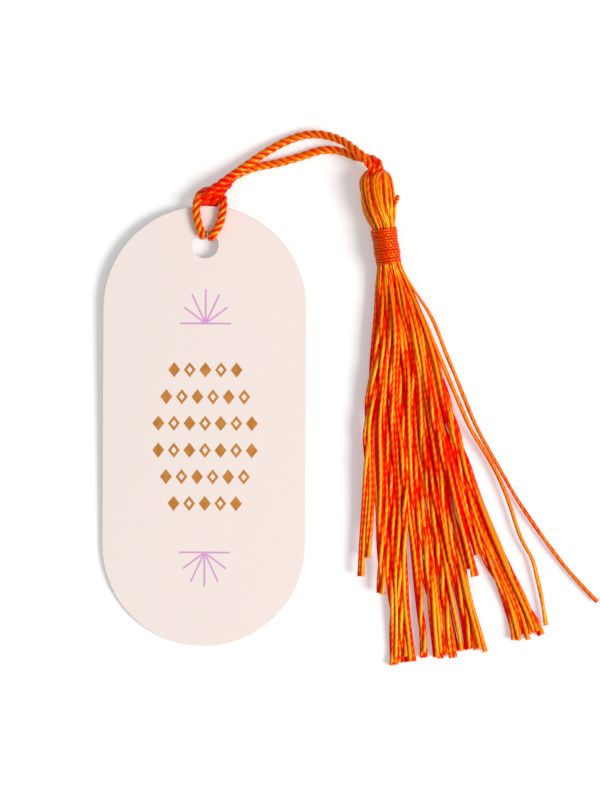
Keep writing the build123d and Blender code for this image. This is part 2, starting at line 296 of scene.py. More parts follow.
grain(tree, shader, place, scale=3800.0, strength=0.3, depth=0.02 * MM)
shader.inputs["Metallic"].default_value = 0.5
shader.inputs["Roughness"].default_value = 0.42
foil.data.materials.append(copper_foil)
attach(foil, "card")

# Sunbursts: two half suns printed in lilac ink near the card's ends, each a ground line with five
# rays, the lower one upside down.
SUN_LINE = 0.52 * MM
SUN_INK_LIFT = 0.022 * MM
SUN_LILAC = (0.740, 0.360, 0.665, 1.0)
SUN_LILAC_DEEP = (0.700, 0.320, 0.625, 1.0)
SUN_HALF_BASE = 7.3 * MM
SUN_RAYS = [(0.0, 9.9), (3.95, 8.45), (6.2, 4.65)]
SUN_GROUND_Y = [30.4 * MM, -37.2 * MM]
SUN_RAY_START = 0.06
ROUND_STEPS = 7


def strokes(starts, ends, width):
    """Pen strokes with round ends: a strip whose half width is that of a circle at each end."""
    arc = np.linspace(0.0, math.pi / 2, ROUND_STEPS)
    level = np.zeros(ROUND_STEPS)
    before = np.concatenate([-np.cos(arc) * width / 2, level])
    beyond = np.concatenate([level, np.sin(arc) * width / 2])
    half = np.concatenate([np.sin(arc), np.cos(arc)]) * width / 2
    share = np.concatenate([level, level + 1.0])
    run = ends - starts
    length = np.linalg.norm(run, axis=1, keepdims=True)
    ahead = run / length
    aside = np.stack([-ahead[:, 1], ahead[:, 0]], axis=-1)
    middle = starts[:, None] + ahead[:, None] * (share * length + before + beyond)[..., None]
    sides = np.array([-1.0, 0.0, 1.0])
    flat = middle[:, :, None] + aside[:, None, None] * (half[:, None] * sides)[None, ..., None]
    heights = np.broadcast_to((SUN_INK_LIFT * (1.0 - 0.4 * np.abs(sides)))[None, None, :, None],
                              flat.shape[:3] + (1,))
    points = on_card(np.concatenate([flat, heights], axis=-1)).reshape(-1, 3)
    one = sheet_quads(2 * ROUND_STEPS, 3)[:, ::-1]
    quads = one[None] + (np.arange(len(starts)) * 2 * ROUND_STEPS * 3)[:, None, None]
    return points, quads.reshape(-1, 4)


sun_starts, sun_ends = [], []
for ground_y, up in zip(SUN_GROUND_Y, (1.0, -1.0)):
    middle = np.array([PRINT_CENTRE_X, ground_y])
    sun_starts.append(middle + np.array([-SUN_HALF_BASE, 0.0]))
    sun_ends.append(middle + np.array([SUN_HALF_BASE, 0.0]))
    for ray_x, ray_y in SUN_RAYS:
        for hand in (1.0, -1.0) if ray_x else (1.0,):
            tip = np.array([hand * ray_x * MM, up * ray_y * MM])
            sun_starts.append(middle + tip * SUN_RAY_START)
            sun_ends.append(middle + tip)
suns = bpy.data.objects.new("sunbursts", surface_mesh(
    "sunbursts", *strokes(np.array(sun_starts), np.array(sun_ends), SUN_LINE)))
bpy.context.collection.objects.link(suns)
lilac_ink, tree, shader = finish_material("lilac_ink")
place = tree.nodes.new("ShaderNodeTexCoord").outputs["Object"]
mottle(tree, shader, place, scale=1500.0, detail=4.0, colours=(SUN_LILAC_DEEP, SUN_LILAC))
grain(tree, shader, place, scale=5200.0, strength=0.2, depth=0.02 * MM)
shader.inputs["Roughness"].default_value = 0.6
suns.data.materials.append(lilac_ink)
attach(suns, "card")

# Hanging cord: one silky cord of three plies, pushed through the hole as a hitch, whose two strands
# run side by side, part, and meet in the eye of the tassel, where the cord's join is hidden.
CORD_RADIUS = 1.28 * MM
CORD_PITCH = 7.2 * MM
CORD_PLIES = 3
CORD_PLY_SHARE = 0.53
CORD_STEP = 0.28 * MM
LEFT_PASS = -0.85
RIGHT_PASS = 1.85
LEFT_PASS_Y = 56.3
RIGHT_PASS_Y = 55.8
STACK = (7.7, TOP + 8.7)
STACK_LOW = 1.2
STACK_HIGH = 3.6
EYE = (STACK[0] + 41.9, STACK[1] + 2.6)
TASSEL_HEIGHT = 5.0
YARN_FILL = 0.665
EYE_YARNS_HIGH = 5.368
EYE_YARNS_PITCH = 0.42
CORD_CLEAR = 0.2 + 1.1
EYE_OVER = TASSEL_HEIGHT + (EYE_YARNS_HIGH + YARN_FILL) * EYE_YARNS_PITCH + CORD_CLEAR
HITCH_FRONT = CARD_LIFT + CARD_THICKNESS / MM + CORD_CLEAR
HITCH_TOP = 2 * TOP * CARD_SLOPE + CARD_THICKNESS / MM + CORD_CLEAR
HOLE_MID = CARD_LIFT + CARD_THICKNESS / MM / 2
HITCH_CORE = (1.3, TOP + 2.2, 2.8)
HITCH_CORE_SIZE = 2.2 * MM
HITCH_CORE_SWELL = 0.42
# Painted shade on the cord: redder on the standing strands just above the hitch, and where the cord goes
# into the eye under the yarns.
HITCH_SHADE_SPOT = (4.0, TOP + 5.5, 3.0)
HITCH_SHADE_SIZE = 7.0 * MM
HITCH_SHADE_DEPTH = 0.2
EYE_SHADE_SIZE = 5.0 * MM
EYE_SHADE_DEPTH = 0.14
CORD_RELIEF = 1.5
CORD_SIDES = 14
# Painted shade: the deep red of the grooves between plies. The gloss tint below is red where the crest is
# low, as painted shade, and yellow where it is high.
GROOVE_SHADE = (1.0, 0.001, 0.0, 1.0)
GLOSS_TONES = [
    (0.56, (1.0, 0.005, 0.0, 1.0)),
    (0.74, (1.0, 0.40, 0.004, 1.0)),
    (0.88, (1.0, 0.85, 0.07, 1.0)),
]
STREAKS_PER_METRE = 200.0
PLY_STREAK_SHIFT = 3.0
STREAK_DEPTH = 0.12
WAVE_REPEAT = math.tau / 10
FIBRE_BUMP = 0.16 * MM
FRAY_TONE_RANK = 75

upper_strand = [
    (EYE[0] - 0.2, EYE[1] - 3.2, TASSEL_HEIGHT),
    (EYE[0] - 0.6, EYE[1] - 0.2, EYE_OVER - 1.6),
    (EYE[0] - 3.0, EYE[1] + 2.6, EYE_OVER - 0.9),
    (STACK[0] + 36.4, STACK[1] + 7.6, EYE_OVER - 1.4),
    (STACK[0] + 31.8, STACK[1] + 11.1, 4.8),
    (STACK[0] + 24.6, STACK[1] + 13.2, 2.2),
    (STACK[0] + 17.2, STACK[1] + 11.5, 1.5),
    (STACK[0] + 9.3, STACK[1] + 7.0, 2.6),
    (STACK[0] + 0.2, STACK[1] + 0.3, STACK_HIGH),
]
left_standing = [
    (5.4, TOP + 7.0, 4.6),
    (3.2, TOP + 5.4, 5.0),
    (1.0, TOP + 4.2, 4.9),
    (-0.1, TOP + 2.2, 3.6),
    (-0.2, TOP + 0.2, 1.4),
    (-0.6, TOP - 3.0, 1.2),
    (LEFT_PASS, LEFT_PASS_Y, 1.2),
]
hitch_bight = [
    (LEFT_PASS, LEFT_PASS_Y, HOLE_MID),
    (LEFT_PASS, LEFT_PASS_Y, HITCH_FRONT),
    (-2.2, TOP - 4.8, HITCH_FRONT),
    (-2.8, TOP - 1.2, HITCH_TOP),
    (-2.4, TOP + 1.6, HITCH_TOP - 0.4),
    (-1.2, TOP + 4.0, 2.4),
    (0.6, TOP + 4.6, 1.2),
    (3.0, TOP + 4.2, 1.2),
    (4.9, TOP + 3.4, 2.4),
    (5.4, TOP + 1.0, HITCH_TOP - 0.4),
    (5.1, TOP - 2.2, HITCH_TOP),
    (4.3, TOP - 5.8, HITCH_FRONT),
    (RIGHT_PASS, RIGHT_PASS_Y, HITCH_FRONT),
    (RIGHT_PASS, RIGHT_PASS_Y, HOLE_MID),
]
right_standing = [
    (RIGHT_PASS, RIGHT_PASS_Y, 1.2),
    (2.3, TOP - 3.0, 1.2),
    (2.6, TOP + 0.2, 1.3),
    (2.6, TOP + 2.2, 3.3),
    (4.2, TOP + 4.0, 3.4),
    (6.0, TOP + 5.6, 2.8),
    (7.2, TOP + 7.4, 1.8),
]
lower_strand = [
    (STACK[0], STACK[1], STACK_LOW),
    (STACK[0] + 6.2, STACK[1] + 3.0, 1.2),
    (STACK[0] + 13.2, STACK[1] + 4.1, 1.2),
    (STACK[0] + 20.3, STACK[1] + 6.2, 1.2),
    (STACK[0] + 26.6, STACK[1] + 8.4, 1.2),
    (STACK[0] + 32.4, STACK[1] + 8.1, 1.3),
    (STACK[0] + 37.4, STACK[1] + 5.6, 2.8),
    (EYE[0] - 1.4, EYE[1] + 3.2, 4.6),
    (EYE[0] + 1.5, EYE[1] + 1.3, 6.6),
    (EYE[0] + 1.4, EYE[1] - 1.2, 6.4),
    (EYE[0] + 1.0, EYE[1] - 3.2, TASSEL_HEIGHT),
]


def cord_line(route, step):
    """Points a step apart, and their distances, on the smooth line that a limp cord takes: a NURBS
    spline with the route's points as its control points."""
    curve = bpy.data.curves.new("route", "CURVE")
    curve.dimensions = "3D"
    spline = curve.splines.new("NURBS")
    spline.points.add(len(route) - 1)
    spline.points.foreach_set("co", np.column_stack([route, np.ones(len(route))]).ravel())
    spline.order_u = 3
    spline.use_endpoint_u = True
    spline.resolution_u = 24
    bare = bpy.data.objects.new("route", curve)
    mesh = bpy.data.meshes.new_from_object(bare)
    line = np.empty(len(mesh.vertices) * 3, np.float32)
    mesh.vertices.foreach_get("co", line)
    line = line.reshape(-1, 3).astype(float)
    bpy.data.meshes.remove(mesh)
    bpy.data.objects.remove(bare)
    bpy.data.curves.remove(curve)
    run = np.concatenate([[0.0], np.cumsum(np.linalg.norm(np.diff(line, axis=0), axis=1))])
    near_end = np.array([0.02, 0.06, 0.12, 0.2]) * MM
    stations = np.linspace(0.0, run[-1], int(run[-1] / step) + 2)
    stations = np.unique(np.concatenate([stations, near_end, run[-1] - near_end]))
    return np.column_stack([np.interp(stations, run, line[:, axis]) for axis in range(3)]), stations


def unit(vectors):
    """The vectors, each divided by its length."""
    return vectors / np.linalg.norm(vectors, axis=-1, keepdims=True)


def carried_frame(line, stations, hint):
    """Two unit vectors across the line at each point, carried along it without twist: the hint made
    square to the line, then turned back by the turn that it gains along the way."""
    ahead = unit(np.gradient(line, stations, axis=0))
    side = unit(hint - (ahead @ hint)[:, None] * ahead)
    up = np.cross(ahead, side)
    gain = (np.diff(side, axis=0) * (up[1:] + up[:-1]) / 2).sum(axis=1)
    gained = np.concatenate([[0.0], np.cumsum(gain)])[:, None]
    cosine, sine = np.cos(gained), np.sin(gained)
    return side * cosine - up * sine, side * sine + up * cosine


def twisted_plies(line, stations, radius, plies, turns, share, sides, hint):
    """Surface of a cord of several plies: each ply's own line winds round the cord's line, and a
    circle of the given share of the cord's radius is carried along it. A rounded end closes it."""
    side, up = carried_frame(line, stations, np.asarray(hint, float))
    angle = math.tau * (turns[None] + np.arange(plies)[:, None] / plies)
    out = np.cos(angle)[..., None] * side + np.sin(angle)[..., None] * up
    centre = line + out * (radius * (1.0 - share))[None, :, None]
    ahead = unit(np.gradient(centre, stations, axis=1))
    beside = np.cross(ahead, out)
    to_end = np.minimum(stations, stations[-1] - stations)
    closing = np.clip(to_end / (0.5 * share * radius), 0.0, 1.0)
    ring = radius * share * np.sqrt(1.0 - (1.0 - closing) ** 2)
    around = math.tau * np.arange(sides) / sides
    circle = np.cos(around)[:, None] * out[:, :, None] + np.sin(around)[:, None] * beside[:, :, None]
    return centre[:, :, None] + ring[None, :, None, None] * circle


def ply_crest(points, line, radius, relief):
    """How far out from the cord's line each point lies: 1 on the outside of the plies, and less by the
    relief times its depth, as a share of the radius, in the grooves, which the colour makes darker as
    painted shade."""
    share = np.linalg.norm(points - line[None, :, None], axis=-1) / radius[None, :, None]
    return 1.0 - relief * (1.0 - share)


def cord_piece(name, points, stations, lay, crest, fibres=None):
    """A cord's mesh, with its length and girth as UV and its crest as an attribute. The girth is turned
    along the length by the lay, which runs the fibres along the cord on the outside of its plies, and
    starts further on for each ply, so that no two have the same streaks. Loose fibres are tubes of
    their own, in one tone."""
    plies, rings, sides = points.shape[:3]
    quads = ring_quads(plies, rings, sides)
    girth = np.arange(sides) / sides
    length, reach = np.repeat(stations[:-1], sides), np.repeat(stations[1:], sides)
    near, far = np.repeat(lay[:-1], sides), np.repeat(lay[1:], sides)
    left, right = np.tile(girth, rings - 1), np.tile(girth + 1.0 / sides, rings - 1)
    corners = np.stack([np.stack([length, near + left], -1), np.stack([length, near + right], -1),
                        np.stack([reach, far + right], -1), np.stack([reach, far + left], -1)], axis=1)
    further_on = np.arange(plies)[:, None, None, None] * np.array([0.0, PLY_STREAK_SHIFT])
    corners = (np.tile(corners[None], (plies, 1, 1, 1)) + further_on).reshape(-1, 2)
    crest = crest.ravel()
    flat = points.reshape(-1, 3)
    if fibres is not None:
        quads = np.concatenate([quads, ring_quads(*fibres.shape[:3]) + len(flat)])
        flat = np.concatenate([flat, fibres.reshape(-1, 3)])
        corners = np.concatenate([corners, np.zeros((4 * len(quads) - len(corners), 2))])
        fibre_tone = np.percentile(crest, FRAY_TONE_RANK)
        crest = np.concatenate([crest, np.full(len(flat) - len(crest), fibre_tone)])
    mesh = surface_mesh(name, flat, quads)
    mesh.uv_layers.new(name="girth").data.foreach_set("uv", corners.astype(np.float32).ravel())
    mesh.attributes.new("crest", "FLOAT", "POINT").data.foreach_set("value", crest.astype(np.float32))
    piece = bpy.data.objects.new(name, mesh)
    bpy.context.collection.objects.link(piece)
    return piece


def nearness(line, spot, size, power):
    """1 at a spot and 0 far from it: e to the minus (distance over size) to the power."""
    distance = np.linalg.norm(line - np.array(spot) * MM, axis=1)
    return np.exp(-(distance / size) ** power)


def silky_fibre(name, body, painted_shine, fibres, fine_twist, twist_depth, gloss_index, roughness):
    """Silky rayon: deep red in the grooves between plies, as painted shade, and lighter on their crests,
    as painted sheen, with fine fibres along each ply and the two fine strands it is spun from as streaks
    of colour and bump, darker along their fine grooves as painted shade. Its gloss is tinted red in the
    grooves, as painted shade, yellow outside, and spreads across the fibres as it does on silk."""
    material, tree, shader = finish_material(name)
    crest = tree.nodes.new("ShaderNodeAttribute")
    crest.attribute_name = "crest"
    girth = tree.nodes.new("ShaderNodeUVMap")
    girth.uv_map = "girth"
    stretch = tree.nodes.new("ShaderNodeMapping")
    stretch.inputs["Scale"].default_value = (STREAKS_PER_METRE, fibres, 1.0)
    tree.links.new(girth.outputs["UV"], stretch.inputs["Vector"])
    streaks = add_node(tree, "ShaderNodeTexNoise", Scale=1.0, Detail=3.0)
    tree.links.new(stretch.outputs["Vector"], streaks.inputs["Vector"])
    shift = add_node(tree, "ShaderNodeMapRange", From_Min=0.3, From_Max=0.7, To_Min=-STREAK_DEPTH,
                     To_Max=STREAK_DEPTH)
    tree.links.new(streaks.outputs["Fac"], shift.inputs["Value"])
    slant = tree.nodes.new("ShaderNodeMapping")
    slant.inputs["Scale"].default_value = (-2 * WAVE_REPEAT / fine_twist, 2 * WAVE_REPEAT, 0.0)
    tree.links.new(girth.outputs["UV"], slant.inputs["Vector"])
    strands = add_node(tree, "ShaderNodeTexWave", Scale=1.0, Distortion=0.0)
    strands.bands_direction = "DIAGONAL"
    tree.links.new(slant.outputs["Vector"], strands.inputs["Vector"])
    dip = add_node(tree, "ShaderNodeMapRange", To_Min=-twist_depth, To_Max=0.5 * twist_depth)
    tree.links.new(strands.outputs["Fac"], dip.inputs["Value"])
    detail = tree.nodes.new("ShaderNodeMath")
    tree.links.new(shift.outputs["Result"], detail.inputs[0])
    tree.links.new(dip.outputs["Result"], detail.inputs[1])
    total = tree.nodes.new("ShaderNodeMath")
    tree.links.new(crest.outputs["Fac"], total.inputs[0])
    tree.links.new(detail.outputs[0], total.inputs[1])
    # Base colour by the crest: painted shade in the grooves, painted sheen on the crests.
    colour = tone_ramp(tree, total.outputs[0], [(0.56, GROOVE_SHADE), (0.76, body), (0.94, painted_shine)])
    tree.links.new(colour, shader.inputs["Base Color"])
    tree.links.new(tone_ramp(tree, total.outputs[0], GLOSS_TONES), shader.inputs["Specular Tint"])
    bump = add_node(tree, "ShaderNodeBump", Strength=0.5, Distance=FIBRE_BUMP)
    tree.links.new(detail.outputs[0], bump.inputs["Height"])
    tree.links.new(bump.outputs["Normal"], shader.inputs["Normal"])
    fibre_way = tree.nodes.new("ShaderNodeTangent")
    fibre_way.direction_type = "UV_MAP"
    fibre_way.uv_map = "girth"
    tree.links.new(fibre_way.outputs["Tangent"], shader.inputs["Tangent"])
    shader.inputs["Anisotropic"].default_value = 0.92
    shader.inputs["Anisotropic Rotation"].default_value = 0.25
    shader.inputs["Roughness"].default_value = roughness
    shader.inputs["IOR"].default_value = gloss_index
    shader.inputs["Specular IOR Level"].default_value = 1.0
    return material


cord_route = np.array(upper_strand + left_standing + hitch_bight + right_standing + lower_strand) * MM
line, stations = cord_line(cord_route, CORD_STEP)
# Painted shade: the cord's colour is made redder near the hitch and near the eye.
painted_shade = HITCH_SHADE_DEPTH * nearness(line, HITCH_SHADE_SPOT, HITCH_SHADE_SIZE, 4)
painted_shade = painted_shade + EYE_SHADE_DEPTH * nearness(line, (EYE[0], EYE[1], TASSEL_HEIGHT - 0.1), EYE_SHADE_SIZE, 4)
radius = CORD_RADIUS * (1.0 + HITCH_CORE_SWELL * nearness(line, HITCH_CORE, HITCH_CORE_SIZE, 2))
line[:, 2] = np.maximum(line[:, 2], radius)
points = twisted_plies(line, stations, radius, CORD_PLIES, stations / CORD_PITCH, CORD_PLY_SHARE,
                       CORD_SIDES, (0.37, -0.61, 0.70))
hanging_cord = cord_piece("hanging_cord", points, stations, stations / CORD_PITCH / CORD_PLY_SHARE,
                          ply_crest(points, line, radius, CORD_RELIEF) - painted_shade[None, :, None])
cord_orange = silky_fibre("cord_orange", body=(1.0, 0.010, 0.0, 1.0), painted_shine=(1.0, 0.190, 0.001, 1.0),
                          fibres=14.0, fine_twist=3.6 * MM, twist_depth=0.10, gloss_index=1.80,
                          roughness=0.32)
hanging_cord.data.materials.append(cord_orange)
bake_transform(hanging_cord)
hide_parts("hitch_bight", "hitch_standing_left", "hitch_standing_right",
            "loop_strand_upper", "loop_strand_lower")

# Tassel yarns: soft two-ply rayon yarns, each folded in half round the cord at the eye. They swell
# into the head, are squeezed together at the neck and fan out in the skirt, where they are cut.
GOLDEN = (1 + math.sqrt(5)) / 2
YARN_COUNT = 22
LEAN = math.radians(9.0)
AXIS_ALONG = np.array([math.sin(LEAN), -math.cos(LEAN)])
AXIS_ACROSS = np.array([math.cos(LEAN), math.sin(LEAN)])
# Fold at the eye, head and neck: pitches of the yarns, and runs along the axis from the eye, in millimetres.
EYE_HEIGHT_PITCH = 0.26
FOLD_HALF = 0.9
FOLD_RUN = 1.6
FOLD_FLATNESS = 0.35
FOLD_POINTS = 7
HEAD_PITCH = 0.80
HEAD_LENGTH = 18.0
HEAD_TURN = math.radians(22.0)
HEAD_DRAWN_IN = 0.95
HEAD_WIDER = 0.17
HEAD_SHIFT = 0.3
HEAD_SWELL = [(18.0, 0.0), (15.5, 0.42), (12.5, 0.82), (9.0, 1.0), (5.5, 0.98), (2.8, 0.78)]
NECK_PITCH = 0.48
NECK_EXIT = 28.78
# Skirt: how it spreads, sinks and gathers into locks below the neck, in millimetres.
SKIRT_PITCH = 0.78
SKIRT_BLOOM = 22.0
SKIRT_FLARE = 1.3
SKIRT_FLARE_LENGTH = 5.0
SKIRT_SPREAD = 0.19
SKIRT_BULGE = 1.4
SKIRT_BULGE_FROM = 12.0
SKIRT_BULGE_LENGTH = 62.0
SKIRT_BOW = 1.5
SKIRT_BOW_LENGTH = 46.0
SKIRT_GATHER_FROM = 30.0
SKIRT_GATHER_POWER = 2.2
SKIRT_SETTLE = 14.0
SKIRT_RISE = 0.6
SKIRT_RISE_LENGTH = 30.0
LOCK_PINCH = 0.3
LOCK_PINCH_AT = 0.87
LOCK_PINCH_LENGTH = 0.08
SHORT_REACH = 100.0
SHORT_LIFT = 2.0
SHORT_LIFT_LENGTH = 60.0
SWAY_FROM = 25.0
SWAY_HEIGHT = 0.4
SWAY_LOST_AT_END = 0.75
STRAY_SWAY = 0.1
# The yarn itself: its twist, girth along the axis, tones and frayed ends.
YARN_TWIST = 42.0 * MM
YARN_SHARE = 0.57
YARN_STEP = 0.3 * MM
YARN_STATIONS = np.array([
    1.0, 0.985, 0.93, 0.86, 0.78, 0.7, 0.62, 0.54, 0.46, 0.38, 0.3, 0.22, 0.15, 0.09, 0.04, 0.0])
YARN_GIRTH = [
    (-4.0, 0.48), (1.0, 0.58), (5.0, 0.88), (12.0, 0.88), (18.0, 0.54), (28.5, 0.54), (36.0, 0.78),
    (50.0, 1.08),
]
YARN_SIDES = 10
YARN_RELIEF = 0.35
SKIRT_FROM = 26.0
SKIRT_FADE = 12.0
# Painted shade on the yarns' flanks and undersides: how the open side is judged, and how much darker the
# rest is painted, in the head and in the skirt.
PLY_PART = 0.6
FLANK_SHADE_IN_HEAD = 0.55
FLANK_SHADE_IN_SKIRT = 0.92
STRAY_THINNER = 0.42
STRAY_ROUNDER = 0.28
END_SWELL = 0.22
END_SWELL_LENGTH = 1.6 * MM
FRAY_COUNT = 14
FRAY_RADIUS = 0.075 * MM
FRAY_LENGTHS = (0.3, 0.6)
FRAY_ROOT = 0.4 * MM
FRAY_SPREAD = 0.35
FRAY_TAPER = 0.75
FRAY_RINGS = 5
FRAY_SIDES = 4
# Locks of the two halves: how many strands each has, where they start and end beside the axis, and how
# far below the neck they reach. Two strays go their own way, given by drop and side.
LEFT_STRANDS = [5, 1, 2, 10, 1, 1, 1, 1]
LEFT_LOCKS = [
    (0.3, 3.8, 116.5), (1.3, 1.3, 92.5), (6.4, 7.0, 115.6), (10.7, 16.8, 116.0), (16.2, 16.2, 94.5),
    (17.1, 17.1, 95.5), (19.2, 19.2, 85.6), (21.8, 21.8, 88.8),
]
RIGHT_STRANDS = [4, 1, 5, 1, 1, 1, 7]
RIGHT_LOCKS = [
    (0.3, 4.3, 117.0), (4.6, 4.6, 89.0), (6.0, 11.1, 116.2), (9.5, 9.5, 91.5), (11.3, 11.3, 93.7),
    (13.0, 13.0, 89.3), (19.9, 28.2, 114.8),
]
STRAY_NEAR = [
    (112.0, 30.0), (104.0, 30.0), (97.5, 29.5), (92.0, 29.0), (88.5, 27.5), (84.0, 26.0), (74.0, 24.5),
    (66.0, 22.5), (59.0, 20.0), (51.5, 16.5), (43.5, 14.5), (36.0, 12.5), (18.0, 8.0), (8.0, 5.0),
    (0.0, 2.5),
]
STRAY_FAR = [
    (107.5, 46.0), (98.5, 39.5), (85.5, 32.5), (74.0, 27.0), (66.0, 24.0), (59.5, 21.5), (51.5, 18.5),
    (43.5, 16.5), (35.0, 14.5), (27.5, 12.5), (20.0, 11.0), (15.5, 9.5), (11.0, 7.5), (7.0, 5.5),
    (0.0, 3.0),
]
chance = np.random.default_rng(7)

# Places of the yarns' right legs in a cross-section: the points of a golden-ratio lattice nearest the axis.
# No two come close, however the lattice is drawn out. The left legs mirror them.
search = np.arange(-12, 13)
row, column = (grid.ravel() for grid in np.meshgrid(search, search, indexing="ij"))
lattice = np.stack([row + column * GOLDEN, row - column / GOLDEN + 0.75], axis=-1)
lattice = lattice[lattice[:, 0] > 0.7]
lattice = lattice[np.argsort(np.hypot(lattice[:, 0], lattice[:, 1]))][:YARN_COUNT]
lattice = lattice[np.argsort(lattice[:, 0])]
first = lattice[0, 0]
widest = lattice[-1, 0]
highest = np.abs(lattice[:, 1]).max()


def ease(share):
    """0 to 1 with level ends."""
    share = np.clip(share, 0.0, 1.0)
    return share * share * (3 - 2 * share)


def lock_ends(counts, locks):
    """Where each strand of one half of the skirt ends: beside the axis, how far below the neck, and the
    middle of its lock."""
    starts, ends, reaches = np.array(locks).T
    sides = [np.linspace(start, end, count) for start, end, count in zip(starts, ends, counts)]
    middles = np.repeat((starts + ends) / 2, counts)
    return np.stack([np.concatenate(sides), np.repeat(reaches, counts), middles], axis=-1)


def tassel_places(run, side, height):
    """Points from runs along the tassel's axis, sides across it and heights, in millimetres."""
    flat = np.array(EYE) + run[:, None] * AXIS_ALONG + side[:, None] * AXIS_ACROSS
    return np.column_stack([flat, height])


def skirt_side(place, drop):
    """Side, side pitch and yarn pitch of a strand below the neck, before it gathers: the lattice is
    drawn out from its first strand, which stays close beside the axis."""
    pitch = NECK_PITCH + (SKIRT_PITCH - NECK_PITCH) * ease(drop / SKIRT_BLOOM)
    flare = SKIRT_FLARE * (1 - np.exp(-drop / SKIRT_FLARE_LENGTH))
    half = widest * NECK_PITCH + flare + SKIRT_SPREAD * drop
    bulge = np.sin(math.pi * np.clip((drop - SKIRT_BULGE_FROM) / SKIRT_BULGE_LENGTH, 0.0, 1.0))
    half = half + SKIRT_BULGE * bulge ** 2
    inner = 0.5 * first * pitch
    side_pitch = (half - inner) / (widest - first)
    return inner + (place[0] - first) * side_pitch, side_pitch, pitch


def leg_route(place, hand, ends, stray, sway):
    """One leg of a yarn, from its cut end up to the head. The strand sinks as the lattice is drawn
    out, gathers into its lock, which is pinched a little above its end, or follows a stray's own
    way, and sways a little. Short strands lie on top."""
    end_side, reach, middle = ends
    drop = reach * YARN_STATIONS if stray is None else np.array(stray)[:, 0]
    side, side_pitch, pitch = skirt_side(place, drop)
    height_pitch = pitch ** 2 / side_pitch
    gathered = ease((drop - SKIRT_GATHER_FROM) / (reach - SKIRT_GATHER_FROM)) ** SKIRT_GATHER_POWER
    side = side + (end_side - side[0]) * gathered
    pinch = np.exp(-((drop / reach - LOCK_PINCH_AT) / LOCK_PINCH_LENGTH) ** 2)
    side = side + LOCK_PINCH * (middle - end_side) * pinch
    side = side + hand * SKIRT_BOW * np.sin(math.pi * np.clip(drop / SKIRT_BOW_LENGTH, 0.0, 1.0))
    loose = ease(drop / SWAY_FROM) * (1.0 - SWAY_LOST_AT_END * ease((drop / reach - 0.65) / 0.35))
    if stray is not None:
        side = np.array(stray)[:, 1]
        loose = loose * STRAY_SWAY
    side = side + loose * sway[0] * np.sin(math.tau * (drop / sway[1] + sway[2]))
    settle = (TASSEL_HEIGHT - (highest + YARN_FILL) * NECK_PITCH) * np.exp(-drop / SKIRT_SETTLE)
    rise = 1.0 + SKIRT_RISE * ease(drop / SKIRT_RISE_LENGTH)
    height = (highest + place[1]) * height_pitch * rise + pitch * YARN_FILL + settle
    height = height + loose * SWAY_HEIGHT * np.sin(math.tau * (drop / sway[3] + sway[4]))
    if reach < SHORT_REACH:
        height = height + SHORT_LIFT * ease(drop / SHORT_LIFT_LENGTH)
    skirt = tassel_places(NECK_EXIT + drop, hand * side, height)
    run, swell = np.array(HEAD_SWELL).T
    pitch = NECK_PITCH + (HEAD_PITCH - NECK_PITCH) * swell
    side = hand * (place[0] - HEAD_DRAWN_IN * swell) * pitch * (1.0 + HEAD_WIDER * swell)
    height = place[1] * pitch
    turn = HEAD_TURN * swell
    head = tassel_places(run, side * np.cos(turn) - height * np.sin(turn) - HEAD_SHIFT * swell,
                         TASSEL_HEIGHT + side * np.sin(turn) + height * np.cos(turn))
    return np.concatenate([skirt, head])


def fold_route(place):
    """The fold of a yarn over the cord: a flattened half circle at the yarn's own height."""
    fold = FOLD_HALF + (place[0] - first) * EYE_YARNS_PITCH
    turn = np.linspace(math.pi, 0.0, FOLD_POINTS)
    return tassel_places(FOLD_RUN - FOLD_FLATNESS * fold * np.sin(turn), fold * np.cos(turn),
                         np.full(FOLD_POINTS, TASSEL_HEIGHT + place[1] * EYE_HEIGHT_PITCH))


def painted_shade_facing(points, line, radius):
    """How far each point of a line is in the skirt, and 1 on the side of the yarn that lies open, 0 on
    its flanks and -0.2 below: the open side faces away from the tassel's axis in the head and the
    neck, and upwards in the skirt. It is judged by the side of its ply and of the yarn as a whole.
    The flanks and undersides are painted darker by it, as painted shade."""
    offset = line - np.append(EYE, TASSEL_HEIGHT) * MM
    run = offset[:, :2] @ AXIS_ALONG
    away = offset - run[:, None] * np.append(AXIS_ALONG, 0.0)
    skirt = ease((run / MM - SKIRT_FROM) / SKIRT_FADE)
    upwards = np.array([0.0, 0.0, 1.0]) * (skirt + 1e-6)[:, None]
    away = unit(unit(away) * (1.0 - skirt)[:, None] + upwards)
    of_ply = unit(points - points.mean(axis=2, keepdims=True))
    of_yarn = (points - line[None, :, None]) / radius[None, :, None, None]
    way = PLY_PART * of_ply + (1.0 - PLY_PART) * of_yarn
    facing = (way * away[None, :, None]).sum(axis=-1)
    return skirt, np.clip(facing, -0.2, 1.0)


def yarn_light_and_shade(place, line, run, skirt):
    """Painted light and shade along a yarn's line: lighter the higher it lies in the skirt and the further
    out it lies in the head, at the skirt's edges and towards the cut ends, and darker 45 to 70 mm down
    the axis. Strays, which lie beyond the edges, are darker than the edges."""
    above = (place[1] + highest) / (2 * highest)
    outer = min(1.0, np.hypot(*place) / (0.85 * widest))
    across = line[:, :2] - np.array(EYE) * MM - np.outer(run * MM, AXIS_ALONG)
    edge = np.linalg.norm(across, axis=1) / MM / (SKIRT_SPREAD * np.maximum(run, 20.0))
    at_edge = ease((edge - 0.5) / 0.5) - 1.3 * ease((edge - 1.1) / 0.3)
    tone = 0.71 + skirt * (0.27 + 0.18 * above + 0.15 * at_edge) + 0.52 * (1.0 - skirt) * outer
    return tone - 0.10 * ease((run - 45.0) / 25.0) + 0.12 * ease((run - 95.0) / 25.0)


